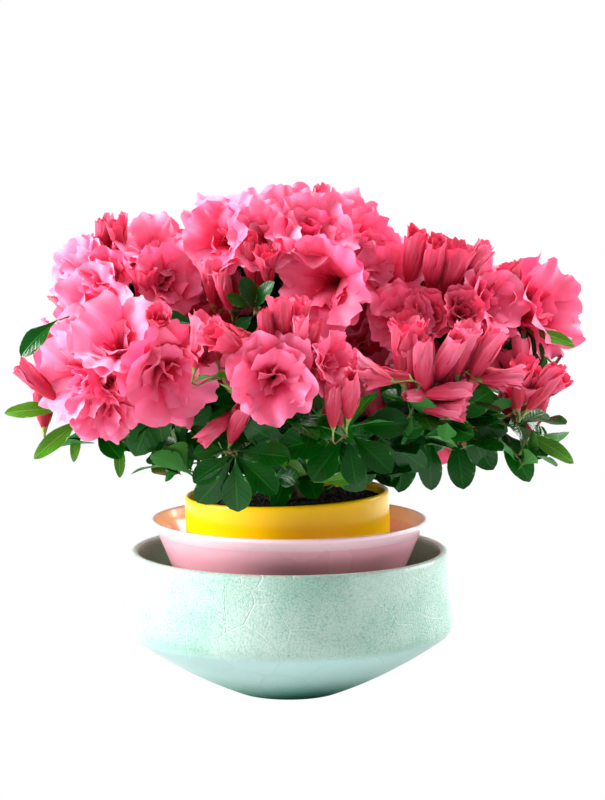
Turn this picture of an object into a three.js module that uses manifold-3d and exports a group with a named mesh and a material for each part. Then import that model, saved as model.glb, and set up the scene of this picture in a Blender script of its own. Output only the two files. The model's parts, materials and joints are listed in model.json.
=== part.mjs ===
// A pot azalea in flower, standing in two nested bowls. Millimetres, +Z up, the front of the plant faces -Y.
// The origin is the centre of the outer bowl's flat underside.
import * as THREE from 'three';
import { mergeVertices } from 'three/addons/utils/BufferGeometryUtils.js';
import Module from 'manifold-3d';

const wasm = await Module();
wasm.setup();

// ---- driving sizes ----
const GAP = 0.3;
const TURN_STEPS = 32;

const outerBowl = {
  footRadius: 33.5,
  bellyRadius: 102,
  bellyHeight: 38,
  shoulderRadius: 105.2,
  rimRadius: 101.4,
  height: 91.6,
  wall: 5.5,
  floor: 6,
  floorRadius: 40,
};
const innerBowl = {
  baseRadius: 34,
  baseCurveHeight: 12,
  slope: 0.417,
  heelRadius: 46,
  lipFoot: 103,
  lipRadius: 87.8,
  height: 111,
  wall: 2.5,
};
const growPot = {
  baseRadius: 35,
  radius: 65,
  straightFrom: 74,
  height: 127.6,
  wall: 3,
  tilt: THREE.MathUtils.degToRad(2),
  shift: 2.6,
};
const soilTop = 121.5;
const soilWaves = 0.9;
const trunk = {
  footRadius: 12.5,
  waistRadius: 8.6,
  headRadius: 11.6,
  height: 26,
  lean: new THREE.Vector2(-1.5, 1),
};
const bough = {
  ringRadius: 8,
  footRadius: 3,
  tipRadius: 1.9,
  kneeHeight: 7,
  rise: 4,
  sides: 7,
  steps: 6,
};
const massRelief = 0.12;

// ---- materials ----
const materials = {
  outerGlaze: new THREE.MeshStandardMaterial({ color: 0xb6dccb, roughness: 0.35 }),
  innerGlaze: new THREE.MeshStandardMaterial({ color: 0xeab8d2, roughness: 0.2 }),
  yellowGlaze: new THREE.MeshStandardMaterial({ color: 0xf2b705, roughness: 0.18 }),
  soil: new THREE.MeshStandardMaterial({ color: 0x2c2018, roughness: 0.95 }),
  bark: new THREE.MeshStandardMaterial({ color: 0x6d5240, roughness: 0.85 }),
  leaf: new THREE.MeshStandardMaterial({ color: 0x1f5a2a, roughness: 0.5 }),
  blossom: new THREE.MeshStandardMaterial({ color: 0xf06aa2, roughness: 0.6 }),
};

const group = new THREE.Group();

function addPart(name, geometry, material, parent = group) {
  const part = new THREE.Mesh(geometry, material);
  part.name = name;
  parent.add(part);
  return part;
}

// ---- solids and cuts ----
function bare(geometry) {
  geometry.deleteAttribute('normal');
  geometry.deleteAttribute('uv');
  return mergeVertices(geometry, 1e-4);
}

function solidOf(geometry) {
  const shell = bare(geometry.clone());
  return new wasm.Manifold(new wasm.Mesh({
    numProp: 3,
    vertProperties: new Float32Array(shell.attributes.position.array),
    triVerts: new Uint32Array(shell.index.array),
  }));
}

function geometryOf(solid) {
  const mesh = solid.getMesh();
  const geometry = new THREE.BufferGeometry();
  geometry.setAttribute('position', new THREE.BufferAttribute(mesh.vertProperties, 3));
  geometry.setIndex(new THREE.BufferAttribute(mesh.triVerts, 1));
  geometry.computeVertexNormals();
  return geometry;
}

function cutBy(solid, cutters, better) {
  let rest = solid;
  for (const cutter of cutters) {
    rest = rest.subtract(cutter);
  }
  const pieces = rest.decompose();
  return pieces.reduce((best, piece) => (better(piece, best) ? piece : best));
}

const larger = (piece, best) => piece.volume() > best.volume();
const lower = (piece, best) => piece.boundingBox().min[2] < best.boundingBox().min[2];

// ---- turned pots ----
function turned(profile) {
  return new THREE.LatheGeometry(profile, TURN_STEPS).rotateX(Math.PI / 2);
}

function arcPoints(centre, radius, from, to, steps) {
  return Array.from({ length: steps + 1 }, (_, i) => {
    const angle = THREE.MathUtils.lerp(from, to, i / steps);
    return new THREE.Vector2(centre.x + radius * Math.cos(angle), centre.y + radius * Math.sin(angle));
  });
}

function outerBowlGeometry() {
  const b = outerBowl;
  const belly = new THREE.QuadraticBezierCurve(
    new THREE.Vector2(b.footRadius, 0),
    new THREE.Vector2(b.bellyRadius * 0.667, b.bellyHeight * 0.36),
    new THREE.Vector2(b.bellyRadius, b.bellyHeight),
  );
  const shoulder = new THREE.QuadraticBezierCurve(
    new THREE.Vector2(b.bellyRadius, b.bellyHeight),
    new THREE.Vector2(b.shoulderRadius + 1, b.bellyHeight + 5),
    new THREE.Vector2(b.shoulderRadius, b.bellyHeight + 13),
  );
  const rim = new THREE.Vector2(b.rimRadius - b.wall / 2, b.height - b.wall / 2);
  const inside = new THREE.QuadraticBezierCurve(
    new THREE.Vector2(b.bellyRadius - b.wall, b.bellyHeight + b.wall),
    new THREE.Vector2(b.bellyRadius * 0.667, b.bellyHeight * 0.36 + b.wall),
    new THREE.Vector2(b.floorRadius, b.floor),
  );
  return turned([
    new THREE.Vector2(0, 0),
    ...belly.getPoints(4),
    ...shoulder.getPoints(2).slice(1),
    ...arcPoints(rim, b.wall / 2, 0, Math.PI, 3),
    new THREE.Vector2(b.shoulderRadius - b.wall, b.bellyHeight + 13),
    ...inside.getPoints(3),
    new THREE.Vector2(0, b.floor),
  ]);
}

const innerBowlBase = outerBowl.floor + GAP;

function innerBowlRadius(z) {
  return innerBowl.heelRadius + innerBowl.slope * (z - innerBowl.baseCurveHeight);
}

function innerBowlGeometry() {
  const b = innerBowl;
  const neck = innerBowlRadius(b.lipFoot);
  return turned([
    new THREE.Vector2(0, innerBowlBase),
    new THREE.Vector2(b.baseRadius, innerBowlBase),
    new THREE.Vector2(b.heelRadius, b.baseCurveHeight),
    new THREE.Vector2(neck, b.lipFoot),
    new THREE.Vector2(b.lipRadius, b.height - 1),
    new THREE.Vector2(b.lipRadius - b.wall / 2, b.height),
    new THREE.Vector2(b.lipRadius - b.wall, b.height - 1),
    new THREE.Vector2(neck - b.wall, b.lipFoot),
    new THREE.Vector2(b.heelRadius - b.wall, b.baseCurveHeight),
    new THREE.Vector2(b.baseRadius, innerBowlBase + b.wall),
    new THREE.Vector2(0, innerBowlBase + b.wall),
  ]);
}

// The grow pot leans a little, so its base stays clear of the bowl's floor by the drop of its low edge.
const growPotBase = innerBowlBase + innerBowl.wall + GAP + growPot.baseRadius * Math.sin(growPot.tilt);
const leaning = new THREE.Group();
leaning.position.set(growPot.shift, 0, growPotBase);
leaning.rotation.y = -growPot.tilt;
group.add(leaning);

function growPotGeometry() {
  const p = growPot;
  const top = p.height - growPotBase;
  const bend = p.straightFrom - growPotBase;
  return turned([
    new THREE.Vector2(0, 0),
    new THREE.Vector2(p.baseRadius, 0),
    new THREE.Vector2(p.radius, bend),
    new THREE.Vector2(p.radius, top - p.wall / 2),
    ...arcPoints(new THREE.Vector2(p.radius - p.wall / 2, top - p.wall / 2), p.wall / 2, 0, Math.PI, 4).slice(1),
    new THREE.Vector2(p.radius - p.wall, bend + 1),
    new THREE.Vector2(p.baseRadius - p.wall + 1, p.wall),
    new THREE.Vector2(0, p.wall),
  ]);
}

function soilGeometry() {
  const p = growPot;
  const top = soilTop - growPotBase;
  const bend = p.straightFrom - growPotBase;
  const radius = p.radius - p.wall - GAP;
  const surface = [
    [radius, top - 2],
    [radius * 0.88, top + soilWaves],
    [radius * 0.62, top - soilWaves],
    [radius * 0.36, top],
    [0, top],
  ];
  return turned([
    new THREE.Vector2(0, p.wall + GAP),
    new THREE.Vector2(p.baseRadius - p.wall, p.wall + GAP),
    new THREE.Vector2(radius, bend + 2),
    ...surface.map(([r, z]) => new THREE.Vector2(r, z)),
  ]);
}

// ---- limbs ----
// A closed tapering limb: a capped cylinder whose rings are carried along a curve.
function limbGeometry(curve, radiusAt, sides, steps) {
  const geometry = new THREE.CylinderGeometry(1, 1, 1, sides, steps);
  const positions = geometry.attributes.position;
  const frames = curve.computeFrenetFrames(steps);
  const point = new THREE.Vector3();
  for (let i = 0; i < positions.count; i += 1) {
    const t = THREE.MathUtils.clamp(positions.getY(i) + 0.5, 0, 1);
    const ring = Math.round(t * steps);
    const radius = radiusAt(t);
    curve.getPointAt(ring / steps, point);
    point.addScaledVector(frames.normals[ring], positions.getX(i) * radius);
    point.addScaledVector(frames.binormals[ring], -positions.getZ(i) * radius);
    positions.setXYZ(i, point.x, point.y, point.z);
  }
  return geometry;
}

const trunkFoot = soilTop + trunk.footRadius * Math.sin(growPot.tilt) + GAP;
const trunkHead = trunkFoot + trunk.height;

// The trunk's rings stay level, so that both of its ends are flat cuts.
function trunkGeometry() {
  const geometry = new THREE.CylinderGeometry(1, 1, trunk.height, 14, 6).rotateX(Math.PI / 2);
  const positions = geometry.attributes.position;
  for (let i = 0; i < positions.count; i += 1) {
    const t = positions.getZ(i) / trunk.height + 0.5;
    const flare = (trunk.footRadius - trunk.waistRadius) * (1 - t) ** 3;
    const fork = (trunk.headRadius - trunk.waistRadius) * t ** 3;
    const radius = trunk.waistRadius + flare + fork;
    const lean = Math.sin(Math.PI * t);
    positions.setXYZ(
      i,
      positions.getX(i) * radius + trunk.lean.x * lean,
      positions.getY(i) * radius + trunk.lean.y * lean,
      trunkFoot + t * trunk.height,
    );
  }
  return geometry;
}

// A bough leaves the trunk's head nearly upright, then bends over toward its mass.
function boughGeometry(heading, target) {
  const outward = new THREE.Vector3(Math.cos(heading), Math.sin(heading), 0);
  const foot = outward.clone().multiplyScalar(bough.ringRadius).setZ(trunkHead + GAP + bough.footRadius * 0.5);
  const knee = foot.clone().addScaledVector(outward, 1.5).add(new THREE.Vector3(0, 0, bough.kneeHeight));
  const elbow = knee.clone().lerp(target, 0.4).add(new THREE.Vector3(0, 0, bough.rise));
  const curve = new THREE.CatmullRomCurve3([foot, knee, elbow, target]);
  const radiusAt = (t) => THREE.MathUtils.lerp(bough.footRadius, bough.tipRadius, t);
  return limbGeometry(curve, radiusAt, bough.sides, bough.steps);
}

function leaderGeometry(target) {
  const foot = new THREE.Vector3(0, 0, trunkHead + GAP);
  const curve = new THREE.CatmullRomCurve3([foot, foot.clone().lerp(target, 0.5), target]);
  return limbGeometry(curve, (t) => THREE.MathUtils.lerp(3.6, 3, t), bough.sides, bough.steps);
}

// ---- foliage and blossom masses ----
// Each mass is a ball pulled to its own radii, with lumps from a few crossed waves.
function massGeometry({ centre, radii, detail, turn }, inflate) {
  const geometry = bare(new THREE.IcosahedronGeometry(1, detail));
  const positions = geometry.attributes.position;
  const dir = new THREE.Vector3();
  for (let i = 0; i < positions.count; i += 1) {
    dir.fromBufferAttribute(positions, i).normalize();
    const waves = Math.sin(4.1 * dir.x + 3.3 * dir.z + turn) + Math.sin(5.3 * dir.y - 3.1 * dir.x + 2 * turn)
      + Math.sin(6.7 * dir.z + 4.9 * dir.y - 3 * turn);
    const swell = 1 - massRelief + massRelief * waves / 3;
    positions.setXYZ(
      i,
      centre[0] + dir.x * (radii[0] * swell + inflate),
      centre[1] + dir.y * (radii[1] * swell + inflate),
      centre[2] + dir.z * (radii[2] * swell + inflate),
    );
  }
  return geometry;
}

const masses = [
  { name: 'blossom_crown_top', centre: [-1, -12, 282], radii: [70, 78, 43], detail: 3 },
  { name: 'blossom_crown_back', centre: [4, 78, 255], radii: [84, 76, 58], detail: 2 },
  { name: 'blossom_tip_right', centre: [155, -16, 242], radii: [29, 42, 41], detail: 2 },
  { name: 'blossom_shoulder_left', centre: [-97, -14, 260], radii: [56, 70, 44], detail: 3 },
  { name: 'blossom_shoulder_right', centre: [93, -18, 247], radii: [60, 70, 46], detail: 3 },
  { name: 'blossom_front', centre: [-6, -100, 202], radii: [58, 62, 54], detail: 3 },
  { name: 'blossom_lower_left', centre: [-105, -42, 202], radii: [66, 78, 52], detail: 3 },
  { name: 'blossom_lower_right', centre: [104, -44, 192], radii: [74, 78, 54], detail: 3 },
  { name: 'blossom_back_left', centre: [-98, 68, 215], radii: [72, 84, 62], detail: 2 },
  { name: 'blossom_back_right', centre: [98, 66, 208], radii: [76, 84, 62], detail: 2 },
  { name: 'blossom_back', centre: [2, 112, 207], radii: [74, 62, 62], detail: 2 },
  { name: 'leaves_heart', centre: [0, 4, 218], radii: [74, 74, 54], detail: 2 },
  { name: 'leaves_skirt_front', centre: [2, -58, 142], radii: [78, 40, 34], detail: 2 },
  { name: 'leaves_skirt_back', centre: [0, 60, 151], radii: [78, 40, 34], detail: 2 },
  { name: 'leaves_skirt_left', centre: [-90, -18, 161], radii: [56, 60, 28], detail: 2 },
  { name: 'leaves_skirt_right', centre: [114, -18, 159], radii: [70, 60, 30], detail: 2 },
];
masses.forEach((mass, i) => {
  mass.turn = 1.7 * i;
});

// The lowest masses hang over the rim of the grow pot, so the pot's whole inside and wall is kept clear.
function potClearance() {
  const p = growPot;
  const plug = new THREE.CylinderGeometry(p.radius + GAP, p.radius + GAP, p.height + GAP, TURN_STEPS);
  plug.rotateX(Math.PI / 2);
  plug.translate(0, 0, (p.height + GAP) / 2 - growPotBase);
  leaning.updateMatrixWorld();
  plug.applyMatrix4(leaning.matrixWorld);
  return solidOf(plug);
}

// ---- assembly ----
addPart('outer_bowl', outerBowlGeometry(), materials.outerGlaze);
addPart('inner_bowl', innerBowlGeometry(), materials.innerGlaze);
addPart('grow_pot', growPotGeometry(), materials.yellowGlaze, leaning);
addPart('soil', soilGeometry(), materials.soil, leaning);
addPart('trunk', trunkGeometry(), materials.bark);

const pot = potClearance();
const keepClear = [pot];
for (const mass of masses) {
  const cut = cutBy(solidOf(massGeometry(mass, 0)), keepClear, larger);
  addPart(mass.name, geometryOf(cut), mass.name.startsWith('leaves') ? materials.leaf : materials.blossom);
  keepClear.push(solidOf(massGeometry(mass, GAP)));
}

const boughs = [
  ['bough_front', -95, 'blossom_front'],
  ['bough_front_left', -150, 'blossom_lower_left'],
  ['bough_front_right', -35, 'blossom_lower_right'],
  ['bough_back_right', 25, 'blossom_back_right'],
  ['bough_back', 88, 'blossom_back'],
  ['bough_back_left', 152, 'blossom_back_left'],
];
for (const [name, heading, massName] of boughs) {
  const target = new THREE.Vector3(...masses.find((mass) => mass.name === massName).centre);
  const limb = solidOf(boughGeometry(THREE.MathUtils.degToRad(heading), target));
  addPart(name, geometryOf(cutBy(limb, keepClear, lower)), materials.bark);
}
const heart = masses.find((mass) => mass.name === 'leaves_heart');
const leader = solidOf(leaderGeometry(new THREE.Vector3(...heart.centre)));
addPart('bough_leader', geometryOf(cutBy(leader, keepClear, lower)), materials.bark);

export default group;
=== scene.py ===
"""A pot azalea in full flower, in a yellow pot nested in a pink bowl inside a wide crackled bowl.

Lengths are millimetres until a mesh is made. Places come from the boxes of the CAD nodes.
"""
import json
import math

import bpy
import numpy as np
from mathutils import Matrix, Vector
from mathutils.bvhtree import BVHTree

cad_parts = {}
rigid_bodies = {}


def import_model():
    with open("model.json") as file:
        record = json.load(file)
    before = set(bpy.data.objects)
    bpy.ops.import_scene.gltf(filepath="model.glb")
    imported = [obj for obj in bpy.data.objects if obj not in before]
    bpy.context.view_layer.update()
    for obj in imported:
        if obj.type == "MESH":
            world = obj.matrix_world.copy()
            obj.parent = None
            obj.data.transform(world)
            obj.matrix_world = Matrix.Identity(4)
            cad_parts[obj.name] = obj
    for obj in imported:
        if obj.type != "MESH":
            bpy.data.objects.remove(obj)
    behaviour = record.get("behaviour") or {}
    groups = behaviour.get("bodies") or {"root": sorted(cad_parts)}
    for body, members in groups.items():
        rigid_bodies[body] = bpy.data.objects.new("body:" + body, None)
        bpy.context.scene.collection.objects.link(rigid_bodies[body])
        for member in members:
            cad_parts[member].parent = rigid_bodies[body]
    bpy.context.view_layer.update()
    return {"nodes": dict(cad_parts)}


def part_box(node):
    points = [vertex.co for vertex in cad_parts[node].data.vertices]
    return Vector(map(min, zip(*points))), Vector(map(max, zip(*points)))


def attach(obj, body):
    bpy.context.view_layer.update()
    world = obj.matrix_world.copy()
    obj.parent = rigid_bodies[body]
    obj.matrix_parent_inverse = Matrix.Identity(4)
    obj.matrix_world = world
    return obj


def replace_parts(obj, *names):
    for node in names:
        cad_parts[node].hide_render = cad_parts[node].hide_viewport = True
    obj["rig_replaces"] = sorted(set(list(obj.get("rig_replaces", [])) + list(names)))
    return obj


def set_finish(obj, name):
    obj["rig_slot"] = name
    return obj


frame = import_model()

MM = 0.001
UP = np.array([0.0, 0.0, 1.0])

BLOSSOM_NODES = sorted(name for name in frame["nodes"] if name.startswith("blossom"))
LEAF_NODES = sorted(name for name in frame["nodes"] if name.startswith("leaves"))
BOUGH_TARGETS = {
    "bough_front": "blossom_front",
    "bough_front_left": "blossom_lower_left",
    "bough_front_right": "blossom_lower_right",
    "bough_back_right": "blossom_back_right",
    "bough_back": "blossom_back",
    "bough_back_left": "blossom_back_left",
    "bough_leader": "leaves_heart",
}
BOXES = {name: [np.array(corner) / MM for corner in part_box(name)] for name in frame["nodes"]}


def node_box(name):
    """The lowest and highest corners of a CAD node, in millimetres."""
    return BOXES[name]


def in_box(name, across, deep, up):
    """A place in a CAD node's box: each share runs from 0 at its left, front or foot to 1."""
    low, high = node_box(name)
    return low + (high - low) * np.array([across, deep, up])


# ---------------------------------------------------------------- nodes


class Value:
    """A node's output. Arithmetic on it adds Math nodes."""

    def __init__(self, nodes, socket):
        self.nodes, self.socket = nodes, socket

    def math(self, operation, *others):
        return self.nodes.add("ShaderNodeMath", {"operation": operation}, [self, *others])["Value"]

    def __add__(self, other):
        return self.math("ADD", other)

    __radd__ = __add__

    def __mul__(self, other):
        return self.math("MULTIPLY", other)

    __rmul__ = __mul__

    def __sub__(self, other):
        return self.math("SUBTRACT", other)

    def __rsub__(self, other):
        return self.nodes.add("ShaderNodeMath", {"operation": "SUBTRACT"}, [other, self])["Value"]

    def __truediv__(self, other):
        return self.math("DIVIDE", other)

    def __pow__(self, other):
        return self.math("POWER", other)

    def clamped(self):
        return self.math("MAXIMUM", 0.0).math("MINIMUM", 1.0)


class Made:
    """A node that was added. Its outputs are read by name."""

    def __init__(self, nodes, node):
        self.nodes, self.node = nodes, node

    def __getitem__(self, name):
        return Value(self.nodes, next(s for s in self.node.outputs if s.name == name and s.enabled))


class Nodes:
    """Adds nodes to one tree."""

    def __init__(self, tree):
        self.tree = tree

    def add(self, kind, settings=None, inputs=None):
        """Adds a node: its settings first, then the values or links of its sockets, by name or in order."""
        node = self.tree.nodes.new(kind)
        for key, value in (settings or {}).items():
            setattr(node, key, value)
        inputs = inputs or {}
        for key, value in inputs.items() if isinstance(inputs, dict) else enumerate(inputs):
            socket = node.inputs[key] if isinstance(key, int) else self.find(node, key)
            if isinstance(value, Value):
                self.tree.links.new(value.socket, socket)
            else:
                socket.default_value = value
        return Made(self, node)

    @staticmethod
    def find(node, name):
        return next(s for s in node.inputs if s.name == name and s.enabled)

    def mix(self, factor, first, second):
        """A colour between two others."""
        return self.add(
            "ShaderNodeMix", {"data_type": "RGBA"}, {"Factor": factor, "A": first, "B": second}
        )["Result"]

    def ease(self, value, low, high):
        """0 under low and 1 over high, smooth between."""
        return self.add(
            "ShaderNodeMapRange",
            {"interpolation_type": "SMOOTHSTEP"},
            {"Value": value, "From Min": low, "From Max": high},
        )["Result"]

    def relief(self, strength, depth, height):
        """The normal of a surface raised by height, as far as depth in metres."""
        given = {"Strength": strength, "Distance": depth, "Height": height}
        return self.add("ShaderNodeBump", inputs=given)["Normal"]

    def named(self, kind, name):
        """A geometry attribute by its name."""
        return self.add("GeometryNodeInputNamedAttribute", {"data_type": kind}, {"Name": name})["Attribute"]


def colour(red, green, blue):
    """A screen colour from 0 to 255 as the light that a shader takes."""
    channels = [c / 255 for c in (red, green, blue)]
    return [c / 12.92 if c <= 0.04045 else ((c + 0.055) / 1.055) ** 2.4 for c in channels] + [1.0]


def geometry_tree(name, inputs, build):
    """A geometry tree with named inputs. build(nodes, given) returns the finished geometry."""
    tree = bpy.data.node_groups.new(name, "GeometryNodeTree")
    tree.interface.new_socket("Geometry", in_out="INPUT", socket_type="NodeSocketGeometry")
    for label, (kind, value) in inputs.items():
        socket = tree.interface.new_socket(label, in_out="INPUT", socket_type=f"NodeSocket{kind}")
        if value is not None:
            socket.default_value = value
    tree.interface.new_socket("Material", in_out="INPUT", socket_type="NodeSocketMaterial")
    tree.interface.new_socket("Geometry", in_out="OUTPUT", socket_type="NodeSocketGeometry")
    nodes = Nodes(tree)
    given = nodes.add("NodeGroupInput")
    realized = nodes.add("GeometryNodeRealizeInstances", inputs={"Geometry": build(nodes, given)})["Geometry"]
    finished = nodes.add(
        "GeometryNodeSetMaterial", inputs={"Geometry": realized, "Material": given["Material"]}
    )
    nodes.add("NodeGroupOutput", inputs=[finished["Geometry"]])
    return tree


def worked(piece, tree, **inputs):
    """Runs a geometry tree on a piece and keeps the result as its own plain mesh."""
    modifier = piece.modifiers.new(tree.name, "NODES")
    modifier.node_group = tree
    for item in tree.interface.items_tree:
        label = item.name.replace(" ", "_").lower()
        if item.item_type == "SOCKET" and item.in_out == "INPUT" and label in inputs:
            modifier[item.identifier] = inputs[label]
    depsgraph = bpy.context.evaluated_depsgraph_get()
    mesh = bpy.data.meshes.new_from_object(piece.evaluated_get(depsgraph), depsgraph=depsgraph)
    piece.modifiers.clear()
    piece.data = mesh
    mesh.name = piece.name
    return piece


# ---------------------------------------------------------------- shapes


def link(piece, collection=None):
    (collection or bpy.context.scene.collection).objects.link(piece)
    return piece


class Shape:
    """Sheets and strips in millimetres, joined into one mesh, with a place in the pattern for each point."""

    def __init__(self):
        self.points, self.faces, self.places = [], [], []

    def count(self):
        return sum(len(part) for part in self.points)

    def sheet(self, points, places, flip=False):
        """A grid of points, as rows and columns."""
        rows, columns = points.shape[:2]
        index = self.count() + np.arange(rows * columns).reshape(rows, columns)
        quads = np.stack([index[:-1, :-1], index[1:, :-1], index[1:, 1:], index[:-1, 1:]], -1).reshape(-1, 4)
        self.points.append(points.reshape(-1, 3))
        self.places.append(places.reshape(-1, 2))
        self.faces.append(quads[:, ::-1] if flip else quads)

    def piece(self, name, collection=None):
        """The finished mesh as an object, in metres."""
        points = np.concatenate(self.points) * MM
        faces = np.concatenate(self.faces)
        mesh = bpy.data.meshes.new(name)
        mesh.from_pydata(points.tolist(), [], faces.tolist())
        mesh.polygons.foreach_set("use_smooth", np.ones(len(faces), bool))
        places = np.concatenate(self.places)
        corners = np.empty(len(mesh.loops), np.int32)
        mesh.loops.foreach_get("vertex_index", corners)
        mesh.uv_layers.new(name="OFBake").data.foreach_set("uv", places[corners].ravel())
        return link(bpy.data.objects.new(name, mesh), collection)


# A tile of the pattern that all petals or leaves share, and the margin left round what lies on it.
TILE, MARGIN = 0.25, 0.02
FILLED = 1 - 2 * MARGIN


def tile(u, v, column=0):
    """Where a petal's or leaf's own (u, v), each 0 to 1, lies in the shared pattern."""
    return np.stack([(u * FILLED + MARGIN + 2 * column) * TILE, (v * FILLED + MARGIN) * TILE], -1)


def smooth(x, low, high):
    t = np.clip((x - low) / (high - low), 0, 1)
    return t * t * (3 - 2 * t)


def eased(v, ends):
    """A smooth run through four handles, as a cubic curve."""
    return sum(h * math.comb(3, i) * v**i * (1 - v) ** (3 - i) for i, h in enumerate(ends))


def ruffles(dice, turns, place):
    """Uneven waves along an edge. turns lists how many full waves a whole turn would hold, and how high."""
    return sum(high * np.sin(count * place + dice.uniform(0, 2 * np.pi)) for count, high in turns)


def petal(
    shape, dice, heading, length, width, lean,
    wrap=1.0, claw=0.2, peak=0.66, tip=0.3, corner=0.18, notch=0.05,
    frill=2.0, rough=1.0, pleat=0.0, twist=0.0, spiral=0.0, base=1.6, grid=(21, 12),
):
    """One petal, from its claw to its frilled edge. lean runs from 0, upright, to 90, flat."""
    evenly = np.linspace(-1, 1, grid[0]), np.linspace(0, 1, grid[1])
    u, v = np.meshgrid(*(0.5 * s + 0.5 * np.sin(0.5 * np.pi * s) for s in evenly), indexing="ij")
    ragged = ruffles(dice, ((3, 0.03), (7, 0.028), (12, 0.014)), u * 1.6) * rough
    far = v * (1 - corner * np.abs(u) ** 2.5 - notch * np.exp(-((u / 0.2) ** 2)) + ragged * v)
    fine = np.linspace(0, 1, 80)
    angle = np.radians(eased(fine, lean))
    step = length / (len(fine) - 1)
    out = base + np.cumsum(np.sin(angle)) * step
    rise = np.cumsum(np.cos(angle)) * step
    radial, height, slope = (np.interp(far, fine, line) for line in (out, rise, angle))
    belly = claw + (1 - claw) * np.sin(0.5 * np.pi * np.minimum(far / peak, 1)) ** 1.3
    half = 0.5 * width * belly * (1 - tip * np.clip((far - peak) / (1 - peak), 0, 1) ** 2)
    side = u * half * (1 + ruffles(dice, ((6, 0.04), (11, 0.02)), v * 2))
    bend = np.maximum(radial, 0.8) + wrap * far * length
    arc = side / bend
    lift = bend * (1 - np.cos(arc))
    edge = np.maximum(np.abs(u) ** 2 * smooth(far, 0.15, 0.6), smooth(far, 0.66, 1.0))
    place = np.arctan2(side, (far - 0.35) * length)
    waves = ruffles(dice, ((3, 0.85), (6, 1.0), (10, 0.95), (15, 0.38)), place)
    swell = ruffles(dice, ((1, 0.5),), side * 0.35 + far * length * 0.2) * smooth(far, 0.2, 0.7)
    folds = spiral * u + pleat * np.cos(u * 3.3 * np.pi) * far
    lift = lift + frill * (edge * waves + 0.5 * swell) * 0.75 + folds
    swing = heading + twist * far
    outward = np.stack([np.cos(swing), np.sin(swing), 0 * swing], -1)
    sideways = np.stack([-np.sin(swing), np.cos(swing), 0 * swing], -1)
    points = (
        outward * (radial - lift * np.cos(slope))[..., None]
        + sideways * (bend * np.sin(arc))[..., None]
        + UP * (height + lift * np.sin(slope))[..., None]
    )
    shape.sheet(points, tile((u + 1) / 2, v))


def whorl(shape, dice, count, length, width, lean, spread, uneven=0.08, **more):
    """A ring of petals. lean is four angles from claw to edge, and each petal leans up to spread off them."""
    start = dice.uniform(0, 6)
    for i in range(count):
        heading = start + 2 * np.pi * i / count + dice.normal(0, 0.12)
        tilt = dice.uniform(-spread, spread)
        own = [a + tilt * k for a, k in zip(lean, (0.1, 0.5, 1, 1.2))]
        petal(
            shape, dice, heading, length * (1 + dice.uniform(-uneven, uneven)),
            width * (1 + dice.uniform(-uneven, uneven)), own, **more,
        )


def stamens(shape, dice, count, length, spread):
    """Thin threads with a small anther, each a narrow folded strip."""
    for i in range(count):
        heading = 2 * np.pi * i / count + dice.normal(0, 0.4)
        away = math.radians(spread * dice.uniform(0.4, 1.2))
        t = np.linspace(0, 1, 6)
        along = length * dice.uniform(0.8, 1.1)
        out = 0.5 + along * t * np.sin(away * t)
        up = along * t * np.cos(away * t)
        thick = np.where(t > 0.9, 0.75, 0.28)
        ring = []
        for corner in (0.0, 2.1, 4.2, 6.283):
            dx, dy = np.cos(corner) * thick, np.sin(corner) * thick
            ring.append(np.stack([(out + dx) * np.cos(heading) - dy * np.sin(heading),
                                  (out + dx) * np.sin(heading) + dy * np.cos(heading), up], -1))
        points = np.stack(ring)
        places = tile(np.full(points.shape[:2], 0.5), np.full(points.shape[:2], 0.12))
        shape.sheet(points, places)


# Each whorl of a bloom: its number of petals, their length, width and lean, and how much more each may lean.
def open_double(shape, dice):
    whorl(shape, dice, 5, 40, 38, (3, 8, 70, 90), 18, frill=2.9, grid=(23, 12))
    whorl(shape, dice, 5, 33, 28, (2, 8, 46, 78), 24, frill=3.0, base=1.3, grid=(19, 10))
    whorl(shape, dice, 4, 25, 17, (0, 6, 22, 50), 22, frill=2.4, base=0.9, twist=0.5, grid=(11, 8))
    stamens(shape, dice, 6, 24, 22)


def funnel(shape, dice):
    whorl(shape, dice, 5, 42, 38, (4, 10, 56, 84), 16, frill=3.0, grid=(23, 12))
    whorl(shape, dice, 5, 29, 22, (2, 6, 30, 58), 20, frill=2.6, base=1.0, twist=0.4, grid=(13, 9))
    stamens(shape, dice, 7, 27, 16)


def rosette(shape, dice):
    whorl(shape, dice, 6, 30, 25, (6, 14, 50, 66), 14, frill=1.9, grid=(15, 9))
    whorl(shape, dice, 5, 25, 19, (2, 10, 30, 44), 12, frill=1.9, base=1.2, grid=(13, 8))
    whorl(shape, dice, 5, 20, 13, (0, 6, 14, 26), 12, frill=1.4, base=0.8, twist=0.8, grid=(11, 8))


def bell(shape, dice):
    furled = dict(claw=0.3, corner=0.1, rough=0.5, wrap=0.06)
    whorl(shape, dice, 5, 38, 17, (22, 9, -4, 26), 5, tip=0.05, frill=1.5, pleat=0.3, twist=0.5, spiral=0.5,
          base=1.8, grid=(15, 12), **furled)
    whorl(shape, dice, 3, 36, 12, (12, 6, -4, 14), 8, tip=0.1, frill=1.6, twist=0.7, spiral=0.4,
          base=0.9, grid=(11, 9), **furled)


def loose_bud(shape, dice):
    furled = dict(tip=0.1, corner=0.12, rough=0.5, wrap=0.02)
    whorl(shape, dice, 5, 38, 15, (24, 10, -11, 2), 3, claw=0.34, frill=1.0, pleat=0.35, twist=0.9,
          spiral=0.6, base=1.8, grid=(13, 12), **furled)
    whorl(shape, dice, 3, 36, 9, (14, 6, -6, 4), 5, claw=0.32, frill=1.2, twist=1.0, spiral=0.4,
          base=0.8, grid=(9, 8), **furled)


def tight_bud(shape, dice):
    whorl(shape, dice, 5, 36, 15, (27, 10, -12, -13), 2, wrap=0.0, claw=0.4, tip=0.5, corner=0.25, frill=0.5,
          rough=0.5, pleat=0.35, twist=1.2, spiral=0.5, base=1.7, grid=(13, 11))


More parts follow.
